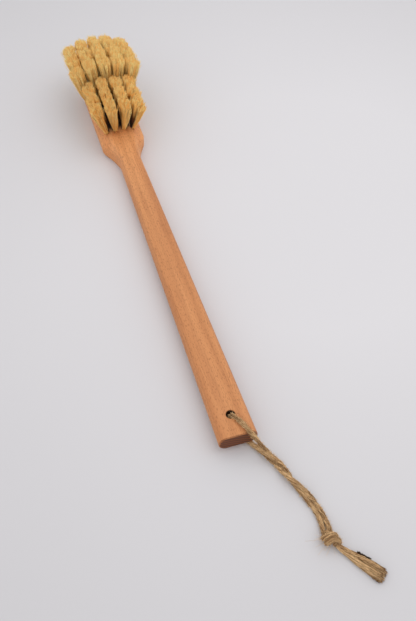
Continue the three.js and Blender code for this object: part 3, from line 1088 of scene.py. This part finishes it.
@dataclass
class HangingCord:
    """The plied jute cord: two legs through the hanging hole, the knot that joins them, two frayed tails."""

    diameter: float = 3.6 * MM
    spacing: float = 0.7 * MM
    curve_steps: int = 24
    fewest_points: int = 8
    side_hint: Point = (0.37, 0.61, 0.7)

    # How slack runs settle and draw together
    settle: float = 0.3 * MM
    pair_gap: float = 2.9 * MM
    pair_pull: float = 0.95 * MM
    pair_reach: float = 14 * MM
    pair_ease: int = 6
    neck_length: float = 19 * MM
    neck_draw: float = 0.28
    neck_pull: float = 0.44
    neck_bare: float = 0.85

    # Plies
    plies: int = 2
    pitch: float = 24 * MM
    ply_radius: float = 1.08 * MM
    ply_offset: float = 0.4 * MM
    ply_sides: int = 8
    ply_tones: Span = (0.15, 0.4)
    ply_clear: float = 0.05 * MM
    lump: float = 0.07
    lump_step: int = 5

    # Long fibres on the plies, thicker than real ones so that they show, in light and dark strips
    yarns_per_mm: float = 9.0
    yarn_radius: float = 0.13 * MM
    yarn_range: Span = (0.6, 1.3)
    yarn_tip: float = 0.7
    yarn_length: Span = (7 * MM, 16 * MM)
    yarn_shortest: float = 2 * MM
    yarn_start: Span = (-0.1, 0.94)
    yarn_seat: Span = (0.9, 1.05)
    yarn_pitch: float = 26 * MM
    yarn_lift: float = 0.4 * MM
    yarn_end_lift: float = 0.25 * MM
    yarn_end_power: int = 6
    yarn_stir: float = 0.06 * MM
    yarn_clear: float = 0.15 * MM
    strips: int = 7
    strip_share: float = 0.6

    # Frayed tails
    fray_start: float = 0.12
    fray_power: float = 0.8
    fray_spread: float = 0.35 * MM
    fray_thin: float = 0.3
    fray_count: int = 380
    fray_root: Span = (-0.3, 0.4)
    fray_fill: Span = (0.08, 1.0)
    fray_tight: float = 0.95
    fray_reach: float = 2.7 * MM
    fray_limit: float = 3.3 * MM
    fray_flare: float = 0.3
    fray_flare_power: int = 3
    fray_pitch: float = 120 * MM
    fray_ragged: float = 1.5 * MM
    fray_ends: Span = (-4 * MM, 1.5 * MM)
    fray_dome: float = 2.2 * MM
    fray_dome_power: int = 3
    fray_wave: float = 0.3 * MM
    fray_wave_limit: float = 1.6
    fray_range: Span = (0.6, 1.2)
    fray_contrast: float = 0.6
    end_darkening: float = 0.9
    cut_start: float = 0.95

    # A fleck of dark fibres on one tail
    speck_count: int = 44
    speck_place: Span = (0.42, 0.64)
    speck_length: Span = (1.2 * MM, 3 * MM)
    speck_away: Span = (1.1 * MM, 2.4 * MM)
    speck_rise: Span = (0.4 * MM, 1.8 * MM)
    speck_stir: float = 0.3 * MM
    speck_radius: float = 0.34 * MM
    speck_taper: Span = (0.15, 0.85)

    # Loose hairs, thicker than real ones so that they show
    hairs_per_mm: float = 9.0
    hair_radius: float = 0.075 * MM
    hair_tip: float = 0.5
    hair_length: Span = (1.4 * MM, 4.2 * MM)
    hair_reach: float = 1.8 * MM
    hair_root: float = 1.2
    hair_lean: Span = (0.4, 1.2)
    hair_rise: Span = (0.5, 1.3)
    hair_stir: float = 0.2
    hair_curl: float = 0.35
    hair_tones: Span = (0.4, 0.9)
    hair_clear: float = 0.1 * MM

    # The knot
    strand_gap: float = 1.75 * MM
    knot_swell: float = 1.28
    knot_radius: float = 3.5 * MM
    knot_turns: float = 0.95
    knot_start: float = math.radians(-130)
    knot_steps: int = 11
    knot_height: float = 5.4 * MM
    knot_half: float = 3.1 * MM
    knot_shift: float = 1.2 * MM
    knot_hairs: int = 16
    knot_hair_length: Span = (4 * MM, 10 * MM)
    knot_hair_fan: float = 0.9
    knot_hair_flat: float = 0.8
    knot_hair_root: float = 0.8
    knot_hair_rise: Span = (-0.35, 0.25)
    knot_hair_curl: float = 0.3
    knot_hair_tip: float = 0.6
    knot_hair_clear: float = 0.2 * MM

    seed: int = 36
    knot_seed: int = 50
    knot_hair_seed: int = 60
    hair: FibreBlank = field(default_factory=FibreBlank)
    yarn: FibreBlank = field(default_factory=lambda: FibreBlank(steps=10))
    jute: TwistedJute = field(default_factory=TwistedJute)

    def smooth(self, points: np.ndarray) -> np.ndarray:
        """Draws one smooth curve, a Catmull-Rom spline, through points.

        Args:
            points: The route's points, in metres.

        Returns:
            Evenly spaced points along the curve.
        """
        ends = np.concatenate([[2 * points[0] - points[1]], points, [2 * points[-1] - points[-2]]])
        share = np.linspace(0, 1, self.curve_steps, endpoint=False)[:, None]
        drawn = []
        for a, b, c, d in zip(ends, ends[1:], ends[2:], ends[3:]):
            curve = 2 * b + (c - a) * share + (2 * a - 5 * b + 4 * c - d) * share**2
            drawn.append((curve + (3 * b - a - 3 * c + d) * share**3) / 2)
        fine = np.concatenate([*drawn, points[-1:]])
        along = np.concatenate([[0], np.cumsum(np.linalg.norm(np.diff(fine, axis=0), axis=1))])
        places = np.linspace(0, along[-1], max(int(along[-1] / self.spacing), self.fewest_points))
        return np.stack([np.interp(places, along, fine[:, i]) for i in range(3)], axis=1)

    def laid(self, run: Run) -> np.ndarray:
        """A run's route in the frame, as one smooth line of evenly spaced points."""
        return self.smooth(np.array(run.route, dtype=float) * MM + [0.0, handle_end(), 0.0])

    def strand(self, gatherer: Gatherer, line: np.ndarray, run: Run | None, rng: Draws) -> Strand:
        """Starts a strand, with side directions that are carried along it without twist.

        Args:
            gatherer: The mesh that takes it.
            line: Evenly spaced points.
            run: The run, or nothing for a strand of the knot.
            rng: Its own random draws.

        Returns:
            The strand, ready to be laid up.
        """
        heading = np.gradient(line, axis=0)
        heading /= np.linalg.norm(heading, axis=1, keepdims=True)
        side = np.cross(heading[0], self.side_hint)
        sides = []
        for direction in heading:
            side = side - direction * (side @ direction)
            side /= np.linalg.norm(side)
            sides.append(side)
        first = np.array(sides)
        along = lengths(line)
        share = (along / along[-1] - self.fray_start) / (1 - self.fray_start)
        loose = (run.fray if run else 0.0) * np.clip(share, 0, 1) ** self.fray_power
        neck = 1 - self.neck_draw * np.clip(1 - along / self.neck_length, 0, 1)
        radius = self.ply_radius * (neck if run else self.knot_swell) * (1 - self.fray_thin * loose)
        return Strand(gatherer, rng, line, heading, first, np.cross(heading, first), loose, radius)

    def ply_middles(self, strand: Strand) -> np.ndarray:
        """Winds the plies' centre lines round a run.

        Args:
            strand: The run being laid up.

        Returns:
            The points of each ply.
        """
        turns = strand.along / self.pitch
        offset = (self.ply_offset + self.fray_spread * strand.loose)[:, None]
        starts = np.arange(self.plies) / self.plies
        return np.array([strand.line + offset * strand.around(math.tau * (turns + s)) for s in starts])

    def add_plies(self, strand: Strand) -> None:
        """Adds the plies' own surfaces.

        Args:
            strand: The run being laid up.
        """
        along = strand.along
        steps = len(along)
        ring = np.arange(self.ply_sides)
        after = (ring + 1) % self.ply_sides
        here = (np.arange(steps - 1) * self.ply_sides)[:, None]
        there = here + self.ply_sides
        quads = np.stack([here + ring, here + after, there + after, there + ring], axis=2).reshape(-1, 4)
        caps = np.stack([ring[::-1], ring + (steps - 1) * self.ply_sides])
        turns = ring * math.tau / self.ply_sides
        out = np.stack([strand.around(np.full(steps, turn)) for turn in turns], axis=1)
        round_lie = (turns[None] + math.tau * along[:, None] / self.yarn_pitch) * self.ply_radius
        lie = np.stack([round_lie, np.repeat(along[:, None], self.ply_sides, axis=1)], axis=2)
        lumps = along[:: self.lump_step]
        for middle in self.ply_middles(strand):
            wobble = 1 + self.lump * np.interp(along, lumps, strand.rng.normal(0, 1, len(lumps)))
            points = middle[:, None] + (strand.radius * wobble)[:, None, None] * out
            points[..., 2] = np.maximum(points[..., 2], self.ply_clear)
            tone = np.full(steps * self.ply_sides, strand.rng.uniform(*self.ply_tones))
            strand.gatherer.add(points.reshape(-1, 3), [quads, caps], tone, tone * 0, lie.reshape(-1, 2))

    def add_yarns(self, strand: Strand) -> None:
        """Adds the long fibres that lie on the plies, in light and dark strips.

        Args:
            strand: The run being laid up.
        """
        rng = strand.rng
        total = strand.along[-1]
        middles = self.ply_middles(strand)
        count = int(total / MM * self.yarns_per_mm)
        start = np.maximum(rng.uniform(*self.yarn_start, count), 0) * total
        long = np.minimum(rng.uniform(*self.yarn_length, count), total - start)
        share = self.yarn.shares
        where = start[:, None] + np.maximum(long, self.yarn_shortest)[:, None] * share
        low, part = strand.steps_at(where)
        ply = rng.integers(0, len(middles), count)[:, None]
        middle = middles[ply, low] * (1 - part) + middles[ply, low + 1] * part
        sector = rng.random(count)
        out = strand.around(sector[:, None] * math.tau - where * math.tau / self.yarn_pitch, low)
        lift = self.yarn_lift * rng.random((count, 1)) ** 2 * np.sin(math.pi * share)
        lift = lift + self.yarn_end_lift * share**self.yarn_end_power
        reach = strand.radius[low] * rng.uniform(*self.yarn_seat, (count, 1)) + lift
        lines = middle + reach[..., None] * out + rng.normal(0, self.yarn_stir, (count, len(share), 3))
        lines[..., 2] = np.maximum(lines[..., 2], self.yarn_clear)
        thick = self.yarn_radius * rng.uniform(*self.yarn_range, (count, 1))
        strips = rng.random((self.plies, self.strips))
        strip = strips[ply[:, 0], (sector * self.strips).astype(int)]
        tone = self.strip_share * strip + (1 - self.strip_share) * rng.random(count)
        self.yarn.copy_along(strand.gatherer, lines, thick, self.yarn_tip, tone)

    def add_fray(self, strand: Strand) -> None:
        """Adds the untwisted fibres of a cut tail, which part and run on to its blunt end, some of them
        darker at their ends.

        Args:
            strand: The tail being laid up.
        """
        rng = strand.rng
        total = strand.along[-1]
        count = self.fray_count
        start = np.maximum(rng.uniform(*self.fray_root, count), 0) * total
        outward = np.sqrt(rng.uniform(*self.fray_fill, count))
        end = total + np.clip(rng.normal(0, self.fray_ragged, count), *self.fray_ends)
        end -= self.fray_dome * outward**self.fray_dome_power
        share = self.yarn.shares
        where = start[:, None] + (end - start)[:, None] * share
        low, part = strand.steps_at(where)
        middle = strand.line[low] * (1 - part) + strand.line[low + 1] * part
        middle = middle + strand.heading[low] * np.maximum(where - total, 0)[..., None]
        turn = rng.random(count)[:, None] * math.tau
        out = strand.around(turn - where * math.tau / self.fray_pitch, low)
        loose = strand.loose[low]
        tight = self.ply_radius * self.fray_tight
        reach = (tight + loose * (self.fray_reach - tight)) * outward[:, None]
        flare = self.fray_flare * rng.uniform(-1, 1, (count, 1)) * share**self.fray_flare_power
        reach = np.minimum(reach * (1 + flare), self.fray_limit)
        limit = self.fray_wave_limit
        wave = np.clip(rng.normal(0, 1, (count, len(share), 3)), -limit, limit) * self.fray_wave
        lines = middle + reach[..., None] * out + wave * loose[..., None]
        lines[..., 2] = np.maximum(lines[..., 2], self.yarn_clear)
        thick = self.yarn_radius * rng.uniform(*self.fray_range, (count, 1))
        cut = self.end_darkening * rng.random((count, 1)) * (share > self.cut_start)
        tone = rng.beta(self.fray_contrast, self.fray_contrast, (count, 1)) - cut
        self.yarn.copy_along(strand.gatherer, lines, thick, self.yarn_tip, tone)

    def add_dark_speck(self, strand: Strand) -> None:
        """Adds the fleck of dark fibres that is caught in one tail's outer side.

        Args:
            strand: The tail being laid up.
        """
        rng = strand.rng
        count = self.speck_count
        share = self.hair.shares
        middle = rng.uniform(*self.speck_place, count) * strand.along[-1]
        where = middle[:, None] + rng.uniform(*self.speck_length, count)[:, None] * (share - 0.5)
        low, _ = strand.steps_at(where)
        away = np.cross(UP, strand.heading[low]) * rng.uniform(*self.speck_away, (count, 1, 1))
        away[..., 2] += rng.uniform(*self.speck_rise, (count, 1))
        lines = strand.line[low] + away + rng.normal(0, self.speck_stir, (count, len(share), 3))
        first, last = self.speck_taper
        thick = self.speck_radius * np.sin(math.pi * (first + (last - first) * share))
        self.hair.copy_along(strand.gatherer, lines, thick, 1.0, np.full(count, DARK_FIBRE_TONE))

    def add_hairs(self, strand: Strand) -> None:
        """Adds loose hairs along a run, apart from the start of a frayed one, where the knot holds them.

        Args:
            strand: The run being laid up.
        """
        rng = strand.rng
        along = strand.along
        bare = strand.loose[-1] * self.neck_length * self.neck_bare
        count = int((along[-1] - bare) / MM * self.hairs_per_mm)
        where = rng.integers(int(bare / along[1]), len(along), count)
        out = strand.around(rng.random(count) * math.tau, where)
        lean = rng.choice([-1.0, 1.0], count)[:, None] * rng.uniform(*self.hair_lean, (count, 1))
        lead = out * rng.uniform(*self.hair_rise, (count, 1)) + strand.heading[where] * lean
        lead = lead + rng.normal(0, self.hair_stir, (count, 3))
        lead /= np.linalg.norm(lead, axis=1, keepdims=True)
        share = self.hair.shares[None, :, None]
        curl = rng.normal(0, self.hair_curl, (count, 1, 3))
        away = rng.uniform(*self.hair_length, (count, 1, 1)) * (lead[:, None] * share + curl * share**2)
        far = np.linalg.norm(away, axis=2, keepdims=True)
        away *= np.minimum(1, self.hair_reach / np.maximum(far, TINY))
        lines = (strand.line[where] + out * self.ply_radius * self.hair_root)[:, None] + away
        lines[..., 2] = np.maximum(lines[..., 2], self.hair_clear)
        tones = rng.uniform(*self.hair_tones, count)
        self.hair.copy_along(strand.gatherer, lines, self.hair_radius, self.hair_tip, tones)

    def add_long_hairs(self, gatherer: Gatherer, middle: np.ndarray, rng: Draws) -> None:
        """Adds the long loose hairs that stand out of the knot.

        Args:
            gatherer: The mesh that takes them.
            middle: The knot's middle.
            rng: Their own random draws.
        """
        count = self.knot_hairs
        turn = rng.normal(math.pi, self.knot_hair_fan, count)
        flat = np.sin(turn) * self.knot_hair_flat
        lead = np.stack([np.cos(turn), flat, rng.uniform(*self.knot_hair_rise, count)], axis=1)[:, None]
        share = self.yarn.shares[None, :, None]
        length = rng.uniform(*self.knot_hair_length, (count, 1, 1))
        curl = rng.normal(0, self.knot_hair_curl, (count, 1, 3)) * share**2
        lines = middle + self.knot_radius * self.knot_hair_root * lead + length * (lead * share + curl)
        lines[..., 2] = np.maximum(lines[..., 2], self.knot_hair_clear)
        tones = rng.uniform(*self.hair_tones, count)
        self.yarn.copy_along(gatherer, lines, self.hair_radius, self.knot_hair_tip, tones)

    def add_strand(self, gatherer: Gatherer, line: np.ndarray, run: Run | None, rng: Draws) -> None:
        """Lays up one run of cord: its plies, the fibres on them and its loose hairs.

        Args:
            gatherer: The mesh that takes them.
            line: The run's centre line.
            run: The run, or nothing for a strand of the knot.
            rng: The run's own random draws.
        """
        strand = self.strand(gatherer, line, run, rng)
        self.add_plies(strand)
        self.add_yarns(strand)
        if run and run.fray:
            self.add_fray(strand)
        if run and run.dark_fibres:
            self.add_dark_speck(strand)
        self.add_hairs(strand)

    def drawn_in(self, run: Run) -> np.ndarray:
        """Lays a run's centre line as the slack cord really lies: settled, and drawn in to the run beside it.

        Args:
            run: The run.

        Returns:
            Points along the line.
        """
        line = self.laid(run)
        other = self.laid(BESIDE[run])
        along = lengths(line)
        if run.fray:
            near_knot = np.clip(1 - along / self.neck_length, 0, 1)[:, None]
            shift = near_knot * self.neck_pull * (other[0] - line[0])
        else:
            apart = other[None] - line[:, None]
            nearest = np.linalg.norm(apart, axis=2).argmin(axis=1)
            beside = apart[np.arange(len(line)), nearest]
            far = np.linalg.norm(beside, axis=1, keepdims=True)
            pull = np.clip((far - self.pair_gap) / 2, 0, self.pair_pull) * (far < self.pair_reach)
            window = np.hanning(2 * self.pair_ease + 1)
            pull = np.convolve(np.pad(pull[:, 0], self.pair_ease, "edge"), window / window.sum(), "valid")
            pull *= np.clip((along[-1] - along) / self.neck_length, 0, 1)
            shift = pull[:, None] * beside / np.maximum(far, self.pair_gap)
        return line + shift - [0.0, 0.0, self.settle]

    def knot_lines(self) -> list[np.ndarray]:
        """Lays both strands through the overhand knot, each once round the other pair.

        Returns:
            Each strand's centre line.
        """
        ends = [self.drawn_in(run)[-1] for run in (UPPER_LEG, LOWER_LEG)]
        starts = [self.drawn_in(run)[0] for run in (LEFT_TAIL, RIGHT_TAIL)]
        entry = (ends[0] + ends[1]) / 2
        leaving = (starts[0] + starts[1]) / 2
        ahead = (leaving - entry) * [1, 1, 0]
        ahead /= np.linalg.norm(ahead)
        up = np.array(UP)
        side = np.cross(ahead, up)
        middle = (entry + leaving) / 2 + side * self.knot_shift
        middle[2] = self.knot_height
        turns = np.linspace(0, 1, self.knot_steps)
        angle = self.knot_start + turns * self.knot_turns * math.tau
        ring = np.cos(angle)[:, None] * side + np.sin(angle)[:, None] * up
        lines = []
        for end, start, shift in zip(ends, starts, (-self.strand_gap, self.strand_gap)):
            level = (turns * 2 - 1) * self.knot_half + shift
            wrap = middle + level[:, None] * ahead + self.knot_radius * ring
            lines.append(self.smooth(np.concatenate([[end], wrap, [start]])))
        return lines

    def finished(self, gatherer: Gatherer, node: str, material: Material) -> Piece:
        """Makes, dresses and seats what was gathered for one node of the cord.

        Args:
            gatherer: The gathered mesh.
            node: The node that the piece stands for.
            material: The jute finish.

        Returns:
            The piece.
        """
        piece = gatherer.make(node.replace("cord", "jute"))
        dress(piece, material)
        only(piece)
        bpy.ops.object.shade_smooth()
        seat(piece, node)
        return piece

    def make_run(self, run: Run, number: int, material: Material) -> Piece:
        """Builds, dresses and seats one run.

        Args:
            run: The run to make.
            number: Its number, which seeds its draws.
            material: The jute finish.

        Returns:
            The run's piece.
        """
        gatherer = Gatherer()
        self.add_strand(gatherer, self.drawn_in(run), run, np.random.default_rng(self.seed + number))
        piece = self.finished(gatherer, run.node, material)
        return piece

    def make_knot(self, material: Material) -> Piece:
        """Builds, dresses and seats the knot.

        Args:
            material: The jute finish.

        Returns:
            The knot.
        """
        gatherer = Gatherer()
        strands = self.knot_lines()
        for number, line in enumerate(strands):
            rng = np.random.default_rng(self.seed + self.knot_seed + number)
            self.add_strand(gatherer, line, None, rng)
        middle = np.concatenate(strands).mean(axis=0)
        self.add_long_hairs(gatherer, middle, np.random.default_rng(self.seed + self.knot_hair_seed))
        return self.finished(gatherer, "cord_knot", material)

    def make(self) -> list[Piece]:
        """Makes the cord.

        Returns:
            The knot, both legs and both tails.
        """
        material = self.jute.material()
        knot = self.make_knot(material)
        carried = {UPPER_LEG: [knot], LOWER_LEG: [], LEFT_TAIL: [], RIGHT_TAIL: []}
        runs = enumerate(carried.items())
        return [knot, *(self.make_run(run, number, material) for number, (run, pieces) in runs)]


# The studio


@dataclass
class Studio:
    """The pale floor, the soft light from above on the right, and the camera over the handle's end."""

    floor_size: float = 6.0
    # Where the floor's painted light is palest
    floor_painted_light_middle: Span = (130 * MM, 213 * MM)
    camera_place: Point = (-109.35 * MM, -275.2 * MM, 531.3 * MM)
    heading: Span = (0.30315, 0.95295)
    pitch: float = math.radians(51.906)
    focal_pixels: float = 870.57
    sensor: float = 36.0
    key_place: Point = (0.5, -0.1, 1.5)
    key_size: float = 1.3
    key_power: float = 3.5
    sky: str = "#FFFFFF"
    sky_strength: float = 0.96

    def make_floor(self) -> None:
        """Lays the floor that the brush lies on."""
        deselect_all()
        bpy.ops.mesh.primitive_plane_add(size=self.floor_size)
        floor = bpy.context.object
        floor.name = "floor"
        across, along = self.floor_painted_light_middle
        dress(floor, MattPaper(painted_light_middle=(across, along + handle_end(), 0.0)).material())

    def make_light(self) -> None:
        """Sets the soft key light and the even sky."""
        lamp = bpy.data.lights.new("key", "AREA")
        lamp.shape = "SQUARE"
        lamp.size = self.key_size
        lamp.energy = self.key_power
        key = bpy.data.objects.new("key", lamp)
        bpy.context.scene.collection.objects.link(key)
        place = Vector(self.key_place)
        key.location = place
        key.rotation_euler = (-place).to_track_quat("-Z", "Y").to_euler()
        world = bpy.data.worlds.new("sky")
        bpy.context.scene.world = world
        world.use_nodes = True
        tree = world.node_tree
        feed(tree, tree.nodes["Background"], {"Color": linear(self.sky), "Strength": self.sky_strength})

    def make_camera(self) -> None:
        """Puts the camera where the photograph was taken from."""
        lens = bpy.data.cameras.new("camera")
        lens.sensor_fit = "VERTICAL"
        lens.sensor_height = self.sensor
        lens.lens = self.focal_pixels * self.sensor / IMAGE_HEIGHT
        camera = bpy.data.objects.new("camera", lens)
        bpy.context.scene.collection.objects.link(camera)
        across, along, height = self.camera_place
        camera.location = (across, along + handle_end(), height)
        ahead = Vector((*self.heading, 0.0)).normalized() * math.cos(self.pitch)
        look = Vector((ahead.x, ahead.y, -math.sin(self.pitch)))
        camera.rotation_euler = look.to_track_quat("-Z", "Y").to_euler()
        bpy.context.scene.camera = camera

    def make(self) -> None:
        """Makes the floor, the light and the camera."""
        self.make_floor()
        self.make_light()
        self.make_camera()
        bpy.context.scene.view_settings.view_transform = "Standard"


def corners(box: Sequence[Sequence[float]]) -> list[list[float]]:
    """A box's two corners as plain lists of numbers."""
    return [[float(value) for value in corner] for corner in box]


def main() -> None:
    """Builds the brush over its frame, in its studio, and reports each piece."""
    logging.basicConfig(level=logging.INFO, format="%(message)s")
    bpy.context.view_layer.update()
    Studio().make()
    for assembly in (HangingCord(), BrushBody(), TuftField()):
        for piece in assembly.make():
            log.info("%s: %d faces", piece.name, len(piece.data.polygons))


if __name__ == "__main__":
    main()
